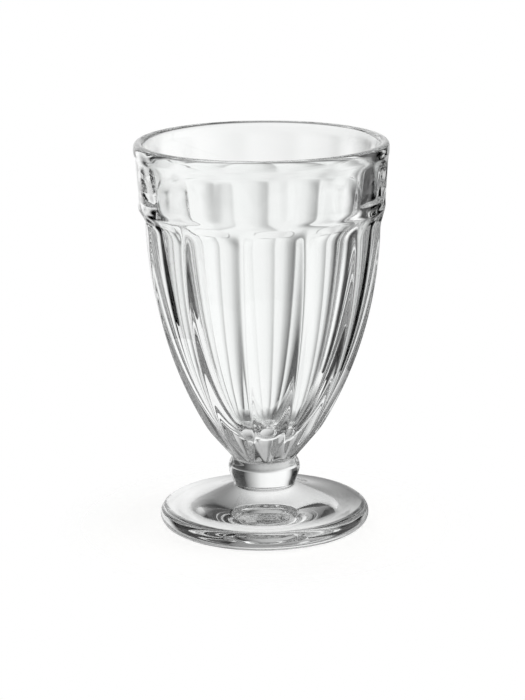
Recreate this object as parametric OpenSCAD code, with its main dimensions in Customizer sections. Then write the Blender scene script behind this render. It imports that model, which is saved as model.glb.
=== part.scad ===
// Parfait glass of pressed clear glass: a fluted bowl, a collar and a round foot, fused at two seams.
// Lengths are in millimetres and angles in degrees. Z points up and the foot rests on Z = 0.

/* [Bowl] */
// Height of the bowl, from its seam on the collar to the top of the lip
bowl_h = 117; // [110:0.5:124]
// Outer diameter of the lip
rim_d = 91.4; // [89.4:0.2:94]
// Thickness of the wall at the lip
lip_t = 3.7; // [3.2:0.1:4.2]
// Height of the plain band under the lip, down to the tops of the upper panels
lip_band_h = 4.2; // [3.4:0.1:6]
// Height of the upper tier, from the belt's edge to the top of the lip
upper_h = 24; // [20:0.5:30]
// Outer diameter of the belt between the two tiers
belt_d = 88.7; // [87.5:0.1:90]
// Thickness of the wall behind the belt
belt_t = 6.2; // [5.6:0.1:6.8]
// Diameter of the seam between bowl and collar
bowl_seam_d = 23.4; // [21.4:0.2:25]
// Slope of the heel cone above the seam, from upright
heel_angle = 40; // [37:0.5:43]
// Height of the heel cone, up to the long curve of the lower tier
heel_h = 12; // [9:0.1:15]
// Thickness of the solid glass under the hollow
floor_t = 12; // [9:0.5:15]

/* [Flutes] */
// Number of scooped panels in the upper tier
panels_n = 14; // [10:1:18]
// Number of scooped flutes in the lower tier
flutes_n = 12; // [10:1:16]
// Depth of a panel's middle below its ridges
panel_depth = 0.7; // [0.5:0.05:1]
// Depth of a flute's middle below its ridges, just under the belt
flute_depth = 1.8; // [1.4:0.05:2.2]
// Depth of a flute's middle below its ridges, at the heel
heel_depth = 1.9; // [1.4:0.05:2.3]
// How far the flutes' ridges lie inside the belt
belt_step = 1.4; // [1:0.05:1.9]
// Turn of the first flute's ridge about the axis, right of the front
flute_turn = 20.5; // [0:0.5:30]
// Turn of the first panel's ridge, right of the first flute's ridge
panel_turn = 12.9; // [0:0.1:25]

/* [Collar] */
// Height of the collar between its two seams
collar_h = 10.6; // [8:0.2:14]
// How far the collar bulges past its seams
collar_bulge = 1.6; // [0.8:0.1:2.4]

/* [Foot] */
// Height of the foot up to its seam with the collar
foot_h = 14.4; // [12:0.2:18]
// Outer diameter of the foot
foot_d = 76.8; // [70:0.2:84]
// Thickness of the foot's rounded edge
foot_edge_t = 7.2; // [5.6:0.1:9]
// Diameter of the seam between foot and collar
foot_seam_d = 22.4; // [20:0.2:25]
// Diameter of the shallow hollow under the foot
foot_hollow_d = 60; // [50:0.5:64]
// Depth of the hollow under the foot
foot_hollow_h = 1.6; // [0.8:0.1:2.6]

/* [Hidden] */
$fn = 96;

// Straight edge of the belt
belt_edge_h = 0.8;
// Rise of the panels' lower ends above the belt, and drop of their upper ends below the lip's band,
// in the middle of a panel and at its ridges
panel_foot_h = 1.4;
panel_foot_ridge_h = 2.6;
panel_head_h = 1.4;
panel_head_ridge_h = 2.8;
corner_round = 4;
// Drop of the flutes' arched tops below the belt, in the middle of a flute and at its ridges
arch_h = 3.7;
arch_ridge_h = 6.3;
arch_round = 2.5;
// Drop below the belt's edge at which the long curve stands upright
upright_drop = 4.2;
// Height above the seam over which the flutes widen from points to their full width
flute_point_h = 14;
// Shape of the hollow: power of its swell, and how the rule's points crowd to the floor
hollow_swell_share = 0.4;
hollow_crowd = 3;
hollow_steps = 10;
// Shape of the foot's flare and of the collar's swell
foot_flare = 1.6;
collar_swell = 1.35;
curve_steps = 12;
round_step = 15;
// Steps of the bowl's skin: around one flute, up the flutes, up the panels and over the lip
flute_steps = 14;
side_steps = 14;
panel_steps = 2;
lip_step = 30;

rim_r = rim_d / 2;
belt_r = belt_d / 2;
foot_r = foot_d / 2;
bowl_seam_r = bowl_seam_d / 2;
foot_seam_r = foot_seam_d / 2;
foot_hollow_r = foot_hollow_d / 2;
foot_edge_r = foot_edge_t / 2;
lip_r = lip_t / 2;

bowl_z = foot_h + collar_h;
floor_z = bowl_z + floor_t;
rim_z = bowl_z + bowl_h;
belt_z = rim_z - upper_h;
lip_z = rim_z - lip_r;
lip_c = rim_r - lip_r;

// Ridges of the flutes lie on a heel cone, then on one long arc that ends upright near the belt
ridge_r = belt_r - belt_step;
heel_r = bowl_seam_r + heel_h * tan(heel_angle);
heel_z = bowl_z + heel_h;
side_z = belt_z - upright_drop;
side_rise = side_z - heel_z;
side_run = ridge_r - heel_r;
side_r = (side_rise * side_rise + side_run * side_run) / (2 * side_run);
side_x = ridge_r - side_r;

// Inner radius of the wall at the belt
hollow_r = belt_r - belt_t;

function mix(a, b, t) = a + (b - a) * t;
function ease(t) = let (u = max(0, min(1, t))) u * u * (3 - 2 * u);

// Place across one of n flutes at angle a from a ridge: 0 in its middle, -1 and 1 at its ridges
function across(a, n) = let (t = a * n / 360) 2 * (t - floor(t)) - 1;

// Radius of the flutes' ridges at height z
function flute_r(z) = z < heel_z
    ? bowl_seam_r + (z - bowl_z) * tan(heel_angle)
    : side_x + sqrt(side_r * side_r - (z - side_z) * (z - side_z));

// Depth of the flutes below their ridges at height z and place u
function flute_cut(z, u) =
    let (up = z - bowl_z)
    mix(heel_depth, flute_depth, up / (belt_z - bowl_z)) * max(0, ease(up / flute_point_h) - u * u);

// Radius of the panels' ridges at height z, on a cone from the belt to the lip
function panel_r(z) = mix(belt_r, rim_r, (z - belt_z) / (lip_z - belt_z));

// Outline of the bowl at angle a from a flute's ridge: up the outside, over the lip and down the hollow
function bowl_outline(a) =
    let (u = across(a, flutes_n),
         v = across(a - panel_turn, panels_n),
         corner = pow(abs(v), corner_round),
         arch_z = belt_z - mix(arch_h, arch_ridge_h, pow(abs(u), arch_round)),
         panel_foot_z = belt_z + belt_edge_h + mix(panel_foot_h, panel_foot_ridge_h, corner),
         lip_low_z = rim_z - lip_band_h,
         panel_head_z = lip_low_z - mix(panel_head_h, panel_head_ridge_h, corner))
    concat(
        [for (i = [0 : side_steps])
            let (z = mix(bowl_z, arch_z, i / side_steps))
            [flute_r(z) - flute_cut(z, u), z]],
        [[belt_r, belt_z],
         [belt_r, belt_z + belt_edge_h]],
        [for (i = [0 : panel_steps])
            let (z = mix(panel_foot_z, panel_head_z, i / panel_steps))
            [panel_r(z) - panel_depth * (1 - v * v), z]],
        [[rim_r, lip_low_z]],
        [for (t = [0 : lip_step : 180])
            [lip_c + lip_r * cos(t), lip_z + lip_r * sin(t)]],
        [for (i = [hollow_steps : -1 : 1])
            let (t = pow(i / hollow_steps, hollow_crowd))
            [hollow_r * pow(t, hollow_swell_share), mix(floor_z, belt_z, t)]]);

// The bowl is lofted around the axis through such outlines, with a flat seam face and a flat floor
module bowl() {
    turns = flutes_n * flute_steps;
    rows = [for (k = [0 : turns - 1]) bowl_outline(k * 360 / turns)];
    m = len(rows[0]);
    points = [for (k = [0 : turns - 1])
        let (a = k * 360 / turns)
        for (p = rows[k]) [p[0] * cos(a), p[0] * sin(a), p[1]]];
    sides = [for (k = [0 : turns - 1])
        let (n = (k + 1) % turns)
        for (j = [0 : m - 2])
            for (f = [[k * m + j, k * m + j + 1, n * m + j], [n * m + j, k * m + j + 1, n * m + j + 1]]) f];
    seam = [for (k = [0 : turns - 1]) k * m];
    floor_ring = [for (k = [turns - 1 : -1 : 0]) k * m + m - 1];
    color("lightcyan")
        rotate([0, 0, flute_turn - 90])
            polyhedron(points = points, faces = concat(sides, [seam, floor_ring]));
}

module collar() {
    color("paleturquoise")
        rotate_extrude()
            polygon(concat(
                [[0, foot_h]],
                [for (i = [0 : curve_steps])
                    let (t = i / curve_steps)
                    [mix(foot_seam_r, bowl_seam_r, t) + collar_bulge * sin(180 * pow(t, collar_swell)),
                     mix(foot_h, bowl_z, t)]],
                [[0, bowl_z]]));
}

module foot() {
    color("lightblue")
        rotate_extrude()
            polygon(concat(
                [[0, foot_h]],
                [for (i = [0 : curve_steps - 1])
                    let (t = i / curve_steps)
                    [mix(foot_seam_r, foot_r - foot_edge_r, t),
                     mix(foot_edge_t, foot_h, pow(1 - t, foot_flare))]],
                [for (a = [90 : -round_step : -90])
                    [foot_r - foot_edge_r + foot_edge_r * cos(a), foot_edge_r + foot_edge_r * sin(a)]],
                [for (i = [0 : curve_steps])
                    let (t = i / curve_steps)
                    [foot_hollow_r * (1 - t), foot_hollow_h * (1 - (1 - t) * (1 - t))]]));
}

foot();
collar();
bowl();
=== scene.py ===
# Parfait glass of pressed clear glass: its bowl, collar and foot, a white studio and the camera.
# Sizes are in millimetres and angles in degrees; meshes are in metres.
import math

import bpy
import numpy as np
from mathutils import Euler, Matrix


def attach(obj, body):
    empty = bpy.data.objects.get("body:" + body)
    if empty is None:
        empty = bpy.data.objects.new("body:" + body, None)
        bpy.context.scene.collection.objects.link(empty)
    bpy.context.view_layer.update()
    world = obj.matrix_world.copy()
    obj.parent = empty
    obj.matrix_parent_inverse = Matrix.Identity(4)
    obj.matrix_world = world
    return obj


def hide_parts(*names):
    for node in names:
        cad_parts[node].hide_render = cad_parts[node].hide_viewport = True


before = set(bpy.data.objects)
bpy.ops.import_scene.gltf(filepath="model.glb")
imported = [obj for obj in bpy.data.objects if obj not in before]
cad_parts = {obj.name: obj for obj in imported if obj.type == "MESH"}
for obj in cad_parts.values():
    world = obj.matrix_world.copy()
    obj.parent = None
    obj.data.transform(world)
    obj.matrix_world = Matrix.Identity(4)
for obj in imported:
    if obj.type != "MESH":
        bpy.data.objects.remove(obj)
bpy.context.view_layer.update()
scene = bpy.context.scene

MM = 0.001

# Heights of the three pieces, of the solid glass under the hollow, and of the tier above the belt
FOOT_H = 14.4
COLLAR_H = 10.6
BOWL_H = 117.0
FLOOR_T = 12.0
UPPER_H = 24.0

# Levels that follow from them
BOWL_Z = FOOT_H + COLLAR_H
FLOOR_Z = BOWL_Z + FLOOR_T
RIM_Z = BOWL_Z + BOWL_H
BELT_Z = RIM_Z - UPPER_H

# Lip, and the plain band under it
RIM_R = 45.7
LIP_R = 1.85
LIP_BAND_H = 4.2

# Belt, its straight edge, the wall behind it, and how far the flutes' ridges lie inside it
BELT_R = 44.35
BELT_EDGE_H = 0.8
BELT_T = 6.2
BELT_STEP = 1.4

# Heel cone above the bowl's seam, and the drop below the belt at which the long curve stands upright
BOWL_SEAM_R = 11.7
HEEL_ANGLE = 40.0
HEEL_H = 12.0
UPRIGHT_DROP = 4.2

# Hollow: power of its swell, and how its rows crowd to the floor
HOLLOW_SWELL = 0.4
HOLLOW_CROWD = 3

# Flutes: count, turn of the first ridge right of the front, depth under the belt and at the heel,
# and the height over which they widen from points
FLUTES = 12
FLUTE_TURN = 20.5
FLUTE_DEPTH = 1.8
HEEL_DEPTH = 1.9
FLUTE_POINT_H = 14.0

# Drop of the flutes' arched tops below the belt, in the middle of a flute and at its ridges
ARCH_H = 3.7
ARCH_RIDGE_H = 6.3
ARCH_ROUND = 2.5

# Panels: count, turn of the first ridge right of the first flute's ridge, depth, and how far their ends
# lie from the belt's edge and from the lip's band, in the middle of a panel and at its ridges
PANELS = 14
PANEL_TURN = 12.9
PANEL_DEPTH = 0.7
PANEL_FOOT_H = 1.4
PANEL_FOOT_RIDGE_H = 2.6
PANEL_HEAD_H = 1.4
PANEL_HEAD_RIDGE_H = 2.8
CORNER_ROUND = 4

# Collar: how far it bulges past its seams, and the power that sets the bulge's height
COLLAR_BULGE = 1.6
COLLAR_SWELL = 1.35

# Foot, its rounded edge, its seam, the hollow under it and the power of its flare
FOOT_R = 38.4
FOOT_EDGE_R = 3.6
FOOT_SEAM_R = 11.2
FOOT_HOLLOW_R = 30.0
FOOT_HOLLOW_H = 1.6
FOOT_FLARE = 1.6

# One half of the glass holds six flutes and seven panels, so two of it make the round
SEGMENTS = 2

# Columns of faces in one half, the gap that joining the halves closes, and the angle of the front
STEPS = 252
JOIN_GAP = 0.002
FRONT = -90.0

# Rows in each stretch of the outlines
FLUTE_ROWS = 72
ARCH_ROWS = 6
BELT_ROWS = 2
PANEL_END_ROWS = 4
PANEL_ROWS = 14
BAND_ROWS = 4
LIP_ROWS = 14
WALL_ROWS = 10
HOLLOW_ROWS = 40
COLLAR_ROWS = 40
FOOT_HOLLOW_ROWS = 24
FOOT_RING_ROWS = 4
FOOT_EDGE_ROWS = 24
FOOT_FLARE_ROWS = 40

# Bands of faces that lie in a seam: the first of an outline or the last
LOWER_SEAM = 0
UPPER_SEAM = -1

# Fire polish of the bowl: rounds of it up and around the whole outside, then around the panels alone,
# and the second row of the outside, of the panels and of the lip, between which it works
SKIN_ROUNDS = (2, 5)
PANEL_ROUNDS = (0, 24)
SKIN_ROW = 2
PANEL_ROW = SKIN_ROW + FLUTE_ROWS + 1 + ARCH_ROWS + BELT_ROWS
LIP_ROW = PANEL_ROW + PANEL_END_ROWS + PANEL_ROWS + PANEL_END_ROWS + BAND_ROWS

# Glass: width of its faint streaks, width and height of its ripples, and its index of refraction
STREAK_W = 14.0
RIPPLE_W = 7.0
RIPPLE_H = 0.05
GLASS_IOR = 1.52

# Light that the glass sees, as levels by the angle to the right of straight behind it
WALL_LEVELS = [(-180, 0.4), (-130, 0.5), (-74, 0.6), (-64, 0), (-44, 0), (-36, 0.8), (-28, 1.05),
               (-4, 1), (4, 0.9), (14, 0.5), (27, 0), (56, 0), (66, 1), (100, 1.2), (130, 0.8),
               (150, 0.4), (180, 0.4)]

# Change of that light towards the ceiling and from the ground: two angles of height and their levels
CEILING = (12, 30, 1.0, 0.5)
GROUND = (-44, -34, 0.3, 1.0)

# Table top: places of its four edges, and its level just under the foot
TABLE_LEFT = -145.0
TABLE_RIGHT = 100.0
TABLE_FRONT = -200.0
TABLE_BACK = 80.0
TABLE_Z = -0.2

# Table top for the camera: its own glow, and the distances over which it fades into the white
TABLE_GLOW = 0.72
FADE_START = 40.0
FADE_END = 78.0

# Table top for the glass: the middle of a shadow of the glass painted into the table's glow, its inner and
# outer radius, and both levels
SHADOW_X = 30.0
SHADOW_Y = 35.0
SHADOW_INNER_R = 25.0
SHADOW_OUTER_R = 60.0
SHADOW_LEVEL = 0.05
SHEET_LEVEL = 0.95

# Camera: the picture's height, focal length and sideways shift in pixels, then its film and its place,
# and its tilt down and roll in radians
PICTURE_H_PX = 700
FOCAL_PX = 2403.7
SHIFT_PX = -0.6
FILM_H = 36
CAMERA_BACK = 846.6
CAMERA_UP = 283.3
CAMERA_TILT = 0.2526
CAMERA_ROLL = -0.009


def linear(text):
    """The linear colour of an sRGB hex value."""
    parts = [int(text[i:i + 2], 16) / 255 for i in (1, 3, 5)]
    return [c / 12.92 if c <= 0.04045 else ((c + 0.055) / 1.055) ** 2.4 for c in parts] + [1.0]


def add(tree, kind, inputs=None, **settings):
    """Adds a node with its settings, and sets or links its inputs."""
    node = tree.nodes.new(kind)
    for name, value in settings.items():
        setattr(node, name, value)
    for name, value in (inputs or {}).items():
        if isinstance(value, bpy.types.NodeSocket):
            tree.links.new(value, node.inputs[name])
        else:
            node.inputs[name].default_value = value
    return node


# Materials

def pressed_glass():
    """Pressed soda-lime glass, fire-polished: clear and bright, with faint ripples where the hot glass
    met the mould, faint streaks, and next to no colour of its own."""
    material = bpy.data.materials.new("pressed_soda_lime_glass")
    material.use_nodes = True
    tree = material.node_tree
    shader = tree.nodes["Principled BSDF"]
    place = add(tree, "ShaderNodeTexCoord").outputs["Object"]
    streaks = add(tree, "ShaderNodeTexNoise",
                  {"Vector": place, "Scale": 1 / (STREAK_W * MM), "Detail": 2.0})
    tint = add(tree, "ShaderNodeValToRGB", {"Fac": streaks.outputs["Fac"]})
    tint.color_ramp.elements[0].color = linear("#fafcfb")
    tint.color_ramp.elements[1].color = linear("#ffffff")
    ripples = add(tree, "ShaderNodeTexNoise",
                  {"Vector": place, "Scale": 1 / (RIPPLE_W * MM), "Detail": 1.0})
    bump = add(tree, "ShaderNodeBump",
               {"Height": ripples.outputs["Fac"], "Strength": 0.25, "Distance": RIPPLE_H * MM})
    tree.links.new(tint.outputs["Color"], shader.inputs["Base Color"])
    tree.links.new(bump.outputs["Normal"], shader.inputs["Normal"])
    shader.inputs["Roughness"].default_value = 0.0
    shader.inputs["IOR"].default_value = GLASS_IOR
    shader.inputs["Transmission Weight"].default_value = 1.0
    return material


def fused_seam():
    """The seam where two hot pieces of glass fused: no surface is left there for the eye to see."""
    material = bpy.data.materials.new("fused_glass_seam")
    material.use_nodes = True
    tree = material.node_tree
    tree.nodes.clear()
    clear = add(tree, "ShaderNodeBsdfTransparent")
    add(tree, "ShaderNodeOutputMaterial", {"Surface": clear.outputs["BSDF"]})
    return material


GLASS = pressed_glass()
SEAM = fused_seam()


# Shapes

def mix(a, b, t):
    """The value at share t of the way from a to b."""
    return a + (b - a) * t


def ease(t):
    """A smooth rise from 0 to 1 while t goes from 0 to 1."""
    u = np.clip(t, 0, 1)
    return u * u * (3 - 2 * u)


def across(angle, count):
    """Place across one of the flutes or panels: 0 in its middle, -1 and 1 at its ridges."""
    t = angle * count / 360
    return 2 * (t - np.floor(t)) - 1


def flute_ridge(z):
    """Ridge radius of the lower tier: a heel cone, then one long curve that ends upright near the belt."""
    slope = math.tan(math.radians(HEEL_ANGLE))
    heel_r, heel_z = BOWL_SEAM_R + HEEL_H * slope, BOWL_Z + HEEL_H
    top_r, top_z = BELT_R - BELT_STEP, BELT_Z - UPRIGHT_DROP
    side_r = ((top_z - heel_z) ** 2 + (top_r - heel_r) ** 2) / (2 * (top_r - heel_r))
    return np.where(z < heel_z, BOWL_SEAM_R + (z - BOWL_Z) * slope,
                    top_r - side_r + np.sqrt(side_r ** 2 - (z - top_z) ** 2))


def flute_cut(z, u):
    """Depth of the flutes below their ridges: they start as points above the seam and widen upwards."""
    up = z - BOWL_Z
    depth = mix(HEEL_DEPTH, FLUTE_DEPTH, up / (BELT_Z - BOWL_Z))
    return depth * np.maximum(0, ease(up / FLUTE_POINT_H) - u * u)


def panel_face(z, v):
    """Radius of the upper tier's panels, scooped below ridges on a cone from the belt to the lip."""
    ridge = mix(BELT_R, RIM_R, (z - BELT_Z) / (RIM_Z - LIP_R - BELT_Z))
    return ridge - PANEL_DEPTH * (1 - v * v)


def level_row(angle, r, z):
    """A row of an outline with one radius and one height all round."""
    return np.full_like(angle, r), np.full_like(angle, z)


def line(start, end, steps):
    """Rows from one row to another, without the first."""
    return [(mix(start[0], end[0], i / steps), mix(start[1], end[1], i / steps))
            for i in range(1, steps + 1)]


def bowl_outline(angle):
    """Rows of the bowl from the middle of its seam, up the outside, over the lip and down the hollow."""
    u, v = across(angle, FLUTES), across(angle - PANEL_TURN, PANELS)
    corner = np.abs(v) ** CORNER_ROUND
    arch_z = BELT_Z - mix(ARCH_H, ARCH_RIDGE_H, np.abs(u) ** ARCH_ROUND)
    edge_z = BELT_Z + BELT_EDGE_H
    foot_z = edge_z + mix(PANEL_FOOT_H, PANEL_FOOT_RIDGE_H, corner)
    band_z = RIM_Z - LIP_BAND_H
    head_z = band_z - mix(PANEL_HEAD_H, PANEL_HEAD_RIDGE_H, corner)
    lip_z, lip_c = RIM_Z - LIP_R, RIM_R - LIP_R
    hollow_r = BELT_R - BELT_T
    rows = [level_row(angle, 0, BOWL_Z)]
    for i in range(FLUTE_ROWS + 1):
        z = mix(BOWL_Z, arch_z, i / FLUTE_ROWS)
        rows.append((flute_ridge(z) - flute_cut(z, u), z))
    rows += line(rows[-1], level_row(angle, BELT_R, BELT_Z), ARCH_ROWS)
    rows += line(rows[-1], level_row(angle, BELT_R, edge_z), BELT_ROWS)
    rows += line(rows[-1], (panel_face(foot_z, v), foot_z), PANEL_END_ROWS)
    for i in range(1, PANEL_ROWS + 1):
        z = mix(foot_z, head_z, i / PANEL_ROWS)
        rows.append((panel_face(z, v), z))
    rows += line(rows[-1], level_row(angle, RIM_R, band_z), PANEL_END_ROWS)
    rows += line(rows[-1], level_row(angle, RIM_R, lip_z), BAND_ROWS)
    for i in range(1, LIP_ROWS + 1):
        t = math.pi * i / LIP_ROWS
        rows.append(level_row(angle, lip_c + LIP_R * math.cos(t), lip_z + LIP_R * math.sin(t)))
    rows += line(rows[-1], level_row(angle, hollow_r, BELT_Z), WALL_ROWS)
    for i in range(HOLLOW_ROWS - 1, -1, -1):
        t = (i / HOLLOW_ROWS) ** HOLLOW_CROWD
        rows.append(level_row(angle, hollow_r * t ** HOLLOW_SWELL, mix(FLOOR_Z, BELT_Z, t)))
    return rows


def collar_outline(angle):
    """Rows of the collar from the middle of its lower seam, up its swelling side, to its upper seam."""
    rows = [level_row(angle, 0, FOOT_H)]
    for i in range(COLLAR_ROWS + 1):
        t = i / COLLAR_ROWS
        bulge = COLLAR_BULGE * math.sin(math.pi * t ** COLLAR_SWELL)
        rows.append(level_row(angle, mix(FOOT_SEAM_R, BOWL_SEAM_R, t) + bulge, mix(FOOT_H, BOWL_Z, t)))
    return rows + [level_row(angle, 0, BOWL_Z)]


def foot_outline(angle):
    """Rows of the foot from the middle of the hollow under it, round its edge and up to the seam."""
    edge_c = FOOT_R - FOOT_EDGE_R
    rows = []
    for i in range(FOOT_HOLLOW_ROWS + 1):
        t = i / FOOT_HOLLOW_ROWS
        rows.append(level_row(angle, FOOT_HOLLOW_R * t, FOOT_HOLLOW_H * (1 - t * t)))
    rows += line(rows[-1], level_row(angle, edge_c, 0), FOOT_RING_ROWS)
    for i in range(1, FOOT_EDGE_ROWS + 1):
        t = math.pi * (i / FOOT_EDGE_ROWS - 0.5)
        rows.append(level_row(angle, edge_c + FOOT_EDGE_R * math.cos(t), FOOT_EDGE_R * (1 + math.sin(t))))
    for i in range(1, FOOT_FLARE_ROWS + 1):
        t = 1 - i / FOOT_FLARE_ROWS
        rise = mix(2 * FOOT_EDGE_R, FOOT_H, (1 - t) ** FOOT_FLARE)
        rows.append(level_row(angle, mix(FOOT_SEAM_R, edge_c, t), rise))
    return rows + [level_row(angle, 0, FOOT_H)]


def fire_polish(field, rounds, kept):
    """Rounds the creases of a skin, up and around it, as the flame does, and leaves the kept rows alone."""
    rounds_up, rounds_around = rounds
    for turn in range(max(rounds)):
        smooth = field.copy()
        if turn < rounds_up:
            smooth[1:-1] = (field[:-2] + 2 * field[1:-1] + field[2:]) / 4
        if turn < rounds_around:
            once = smooth[:, :-1]
            once = (np.roll(once, 1, axis=1) + 2 * once + np.roll(once, -1, axis=1)) / 4
            smooth = np.concatenate([once, once[:, :1]], axis=1)
        field = np.where(kept[:, None], field, smooth)
    return field


def segment(name, outline, seams, polish):
    """One half of a piece, fire-polished between the rows that polish gives, with its seams marked."""
    angle = np.linspace(0, 360 / SEGMENTS, STEPS + 1)
    rows = outline(angle)
    radius = np.array([r for r, z in rows])
    height = np.array([z for r, z in rows])
    for rounds, first, last in polish:
        kept = np.array([not first <= j <= last for j in range(len(rows))])
        radius = fire_polish(radius, rounds, kept)
        height = fire_polish(height, rounds, kept)
    turn = np.radians(angle)
    points = np.stack([radius * np.cos(turn), radius * np.sin(turn), height], -1).reshape(-1, 3) * MM
    wide, bands = STEPS + 1, len(rows) - 1
    faces = [(j * wide + k, j * wide + k + 1, (j + 1) * wide + k + 1, (j + 1) * wide + k)
             for j in range(bands) for k in range(STEPS)]
    mesh = bpy.data.meshes.new(name)
    mesh.from_pydata(points.tolist(), [], faces)
    fused = [j % bands for j in seams]
    mark = mesh.attributes.new("seam", "BOOLEAN", "FACE")
    mark.data.foreach_set("value", [j in fused for j in range(bands) for k in range(STEPS)])
    return mesh


def round_tree():
    """Sets equal segments round the axis, joins them and gives glass and fused seams their materials."""
    tree = bpy.data.node_groups.new("segments_round_the_axis", "GeometryNodeTree")
    for name, kind in (("Segment", "Geometry"), ("Segments", "Int"), ("Turn", "Float"),
                       ("Join within", "Float"), ("Glass", "Material"), ("Seam", "Material")):
        tree.interface.new_socket(name, in_out="INPUT", socket_type="NodeSocket" + kind)
    tree.interface.new_socket("Piece", in_out="OUTPUT", socket_type="NodeSocketGeometry")
    given = add(tree, "NodeGroupInput").outputs
    points = add(tree, "GeometryNodePoints", {"Count": given["Segments"]})
    index = add(tree, "GeometryNodeInputIndex")
    step = add(tree, "ShaderNodeMath", {0: 2 * math.pi, 1: given["Segments"]}, operation="DIVIDE")
    angle = add(tree, "ShaderNodeMath", {0: index.outputs[0], 1: step.outputs[0], 2: given["Turn"]},
                operation="MULTIPLY_ADD")
    turn = add(tree, "ShaderNodeCombineXYZ", {"Z": angle.outputs[0]})
    copies = add(tree, "GeometryNodeInstanceOnPoints",
                 {"Points": points.outputs[0], "Instance": given["Segment"], "Rotation": turn.outputs[0]})
    whole = add(tree, "GeometryNodeRealizeInstances", {"Geometry": copies.outputs[0]})
    joined = add(tree, "GeometryNodeMergeByDistance",
                 {"Geometry": whole.outputs[0], "Distance": given["Join within"]})
    seam = add(tree, "GeometryNodeInputNamedAttribute", {"Name": "seam"}, data_type="BOOLEAN")
    side = add(tree, "FunctionNodeBooleanMath", {0: seam.outputs[0]}, operation="NOT")
    soft = add(tree, "GeometryNodeSetShadeSmooth",
               {"Geometry": joined.outputs[0], "Shade Smooth": side.outputs[0]})
    glass = add(tree, "GeometryNodeSetMaterial", {"Geometry": soft.outputs[0], "Material": given["Glass"]})
    fused = add(tree, "GeometryNodeSetMaterial",
                {"Geometry": glass.outputs[0], "Selection": seam.outputs[0], "Material": given["Seam"]})
    add(tree, "NodeGroupOutput", {"Piece": fused.outputs[0]})
    return tree


ROUND = round_tree()


def turned(name, node, outline, seams, polish):
    """A whole piece of glass from one half of it, in the place of the plain solid that node names."""
    shape = bpy.data.objects.new(name, segment(name, outline, seams, polish))
    scene.collection.objects.link(shape)
    modifier = shape.modifiers.new("round", "NODES")
    modifier.node_group = ROUND
    values = {"Segments": SEGMENTS, "Turn": math.radians(FLUTE_TURN + FRONT), "Join within": JOIN_GAP * MM,
              "Glass": GLASS, "Seam": SEAM}
    for item in ROUND.interface.items_tree:
        if item.in_out == "INPUT" and item.name in values:
            modifier[item.identifier] = values[item.name]
    bpy.context.view_layer.update()
    whole = bpy.data.meshes.new_from_object(shape.evaluated_get(bpy.context.evaluated_depsgraph_get()))
    shape.modifiers.remove(modifier)
    shape.data = whole
    whole.name = name
    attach(shape, "root")
    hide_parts(node)


turned("glass_bowl", "bowl", bowl_outline, [LOWER_SEAM],
       [(SKIN_ROUNDS, SKIN_ROW, LIP_ROW), (PANEL_ROUNDS, PANEL_ROW, LIP_ROW)])
turned("glass_collar", "collar", collar_outline, [LOWER_SEAM, UPPER_SEAM], [])
turned("glass_foot", "foot", foot_outline, [UPPER_SEAM], [])


# Studio

def studio_world():
    """White all round for the camera. The glass sees the studio of such a picture instead: a white
    backdrop behind it, a soft light at the right, dark gaps beside the backdrop, and a dimmer left,
    front and ceiling."""
    world = bpy.data.worlds.new("white_studio")
    scene.world = world
    world.use_nodes = True
    tree = world.node_tree
    tree.nodes.clear()
    place = add(tree, "ShaderNodeTexCoord")
    part = add(tree, "ShaderNodeSeparateXYZ", {"Vector": place.outputs["Generated"]})
    around = add(tree, "ShaderNodeMath", {0: part.outputs["X"], 1: part.outputs["Y"]}, operation="ARCTAN2")
    share = add(tree, "ShaderNodeMapRange",
                {"Value": around.outputs[0], "From Min": -math.pi, "From Max": math.pi})
    height = add(tree, "ShaderNodeMath", {0: part.outputs["Z"]}, operation="ARCSINE")

    def change(start, end, low, high):
        """A change of level between two angles of height."""
        node = add(tree, "ShaderNodeMapRange",
                   {"Value": height.outputs[0], "To Min": low, "To Max": high,
                    "From Min": math.radians(start), "From Max": math.radians(end)})
        return node.outputs["Result"]

    wall = add(tree, "ShaderNodeValToRGB", {"Fac": share.outputs["Result"]})
    bar = wall.color_ramp
    while len(bar.elements) < len(WALL_LEVELS):
        bar.elements.new(0.5)
    for element, (azimuth, level) in zip(bar.elements, WALL_LEVELS):
        element.position = (azimuth + 180) / 360
        element.color = (level, level, level, 1)
    upper = add(tree, "ShaderNodeMath", {0: wall.outputs["Color"], 1: change(*CEILING)},
                operation="MULTIPLY")
    studio = add(tree, "ShaderNodeMath", {0: upper.outputs[0], 1: change(*GROUND)}, operation="MULTIPLY")
    path = add(tree, "ShaderNodeLightPath")
    seen = add(tree, "ShaderNodeMix",
               {"Factor": path.outputs["Is Camera Ray"], "A": studio.outputs[0], "B": 1.0})
    sky = add(tree, "ShaderNodeBackground", {"Color": seen.outputs["Result"]})
    add(tree, "ShaderNodeOutputWorld", {"Surface": sky.outputs[0]})


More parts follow.
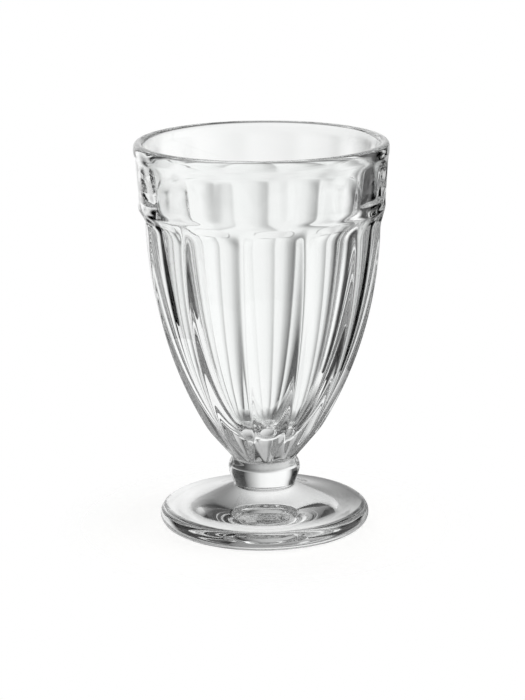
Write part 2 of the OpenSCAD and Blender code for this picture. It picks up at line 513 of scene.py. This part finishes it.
def add_floor():
    """A pale table top. The camera sees it white, with the soft shadow of the glass, fading into the white
    studio; the glass sees where the table ends, and a painted shadow of itself in the table's glow behind
    it at the right."""
    mesh = bpy.data.meshes.new("table_top")
    corners = [(TABLE_LEFT, TABLE_FRONT), (TABLE_RIGHT, TABLE_FRONT),
               (TABLE_RIGHT, TABLE_BACK), (TABLE_LEFT, TABLE_BACK)]
    mesh.from_pydata([(x * MM, y * MM, TABLE_Z * MM) for x, y in corners], [], [(0, 1, 2, 3)])
    table = bpy.data.objects.new("table_top", mesh)
    scene.collection.objects.link(table)
    material = bpy.data.materials.new("pale_table_top")
    material.use_nodes = True
    tree = material.node_tree
    tree.nodes.clear()
    place = add(tree, "ShaderNodeTexCoord").outputs["Object"]
    away = add(tree, "ShaderNodeVectorMath", {0: place}, operation="LENGTH")
    fade = add(tree, "ShaderNodeMapRange",
               {"Value": away.outputs["Value"], "From Min": FADE_START * MM, "From Max": FADE_END * MM,
                "To Min": 1.0, "To Max": 0.0})
    pale = add(tree, "ShaderNodeBsdfDiffuse", {"Color": linear("#f4f3f0")})
    glow = add(tree, "ShaderNodeEmission", {"Color": linear("#ffffff"), "Strength": TABLE_GLOW})
    top = add(tree, "ShaderNodeAddShader", {0: pale.outputs[0], 1: glow.outputs[0]})
    clear = add(tree, "ShaderNodeBsdfTransparent")
    shown = add(tree, "ShaderNodeMixShader",
                {0: fade.outputs["Result"], 1: clear.outputs[0], 2: top.outputs[0]})
    # Painted shadow: for the glass, the table's glow is dimmed round a point behind the glass at the right
    shadow = add(tree, "ShaderNodeVectorMath", {0: place, 1: (SHADOW_X * MM, SHADOW_Y * MM, 0)},
                 operation="DISTANCE")
    level = add(tree, "ShaderNodeMapRange",
                {"Value": shadow.outputs["Value"], "From Min": SHADOW_INNER_R * MM,
                 "From Max": SHADOW_OUTER_R * MM, "To Min": SHADOW_LEVEL, "To Max": SHEET_LEVEL})
    sheet = add(tree, "ShaderNodeEmission",
                {"Color": linear("#ffffff"), "Strength": level.outputs["Result"]})
    path = add(tree, "ShaderNodeLightPath")
    surface = add(tree, "ShaderNodeMixShader",
                  {0: path.outputs["Is Camera Ray"], 1: sheet.outputs[0], 2: shown.outputs[0]})
    add(tree, "ShaderNodeOutputMaterial", {"Surface": surface.outputs[0]})
    mesh.materials.append(material)


def add_camera():
    """The photograph's view: from the front, a little above the lip, with a long lens."""
    data = bpy.data.cameras.new("camera")
    camera = bpy.data.objects.new("camera", data)
    scene.collection.objects.link(camera)
    data.sensor_width = FILM_H
    data.lens = FILM_H * FOCAL_PX / PICTURE_H_PX
    data.shift_x = SHIFT_PX / PICTURE_H_PX
    camera.location = (0, -CAMERA_BACK * MM, CAMERA_UP * MM)
    tilt = Euler((math.pi / 2 - CAMERA_TILT, 0, 0)).to_matrix()
    roll = Euler((0, 0, CAMERA_ROLL)).to_matrix()
    camera.rotation_euler = (tilt @ roll).to_euler()
    scene.camera = camera


studio_world()
add_floor()
add_camera()

scene.view_settings.view_transform = "Standard"
scene.cycles.max_bounces = 24
scene.cycles.transmission_bounces = 24
scene.cycles.glossy_bounces = 12
scene.cycles.transparent_max_bounces = 24
